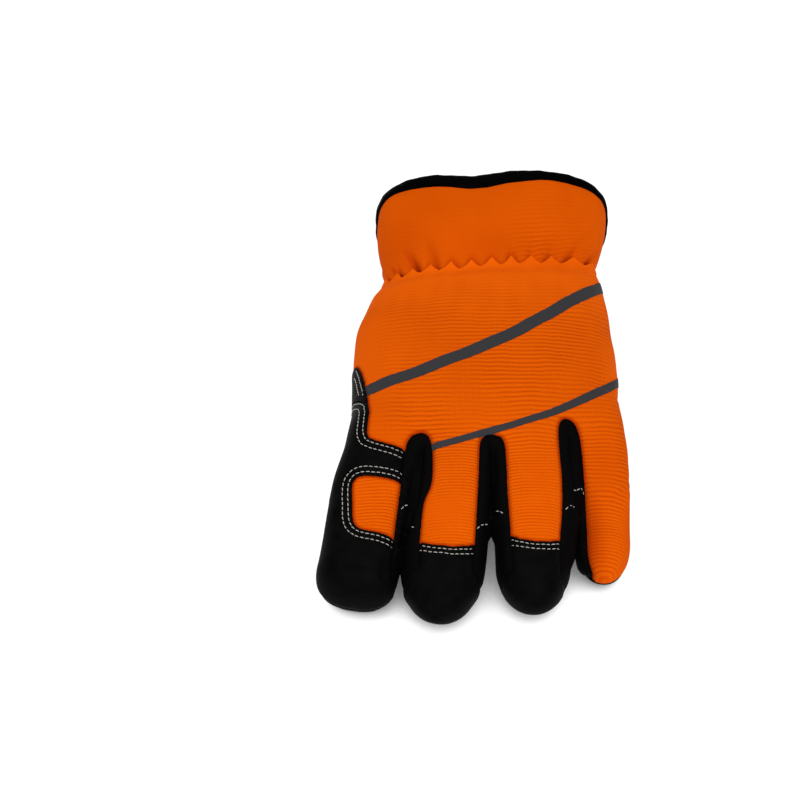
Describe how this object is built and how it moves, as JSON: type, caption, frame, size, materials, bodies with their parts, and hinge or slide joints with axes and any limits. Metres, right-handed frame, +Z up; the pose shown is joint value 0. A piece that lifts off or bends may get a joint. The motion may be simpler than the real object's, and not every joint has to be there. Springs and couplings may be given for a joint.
{
  "type": "mechanic glove",
  "caption": "Left-hand slip-on work glove lying palm down: knit back and gathered cuff, bound rim, leather-like palm, fingertips and index guard, reflective stripes.",
  "frame": {"origin": "bottom centre of the glove's box, on the surface that it lies on", "axes": "+Y from the fingertips to the cuff, +X towards the little finger, +Z up from the palm to the back"},
  "size_m": [0.1203, 0.2226, 0.0534],
  "materials": {
    "knit_orange": "matt ribbed spandex knit, high-visibility orange",
    "leather_black": "matt black synthetic leather with a fine suede nap",
    "stretch_black": "matt black stretch knit",
    "binding_black": "black woven binding tape, folded over the rim",
    "reflective_grey": "satin grey reflective film on cloth"
  },
  "bodies": {
    "root": {"back_panel": "knit_orange", "index_knit_inset": "knit_orange", "cuff": "knit_orange", "palm": "leather_black", "index_guard": "leather_black", "thumb_web": "leather_black", "middle_tip": "leather_black", "ring_tip": "leather_black", "thumb_back": "leather_black", "thumb_front": "leather_black", "fourchette_index_middle": "stretch_black", "fourchette_middle_ring": "stretch_black", "fourchette_ring_little": "stretch_black", "cuff_binding": "binding_black", "stripe_upper": "reflective_grey", "stripe_lower": "reflective_grey"}
  },
  "joints": []
}
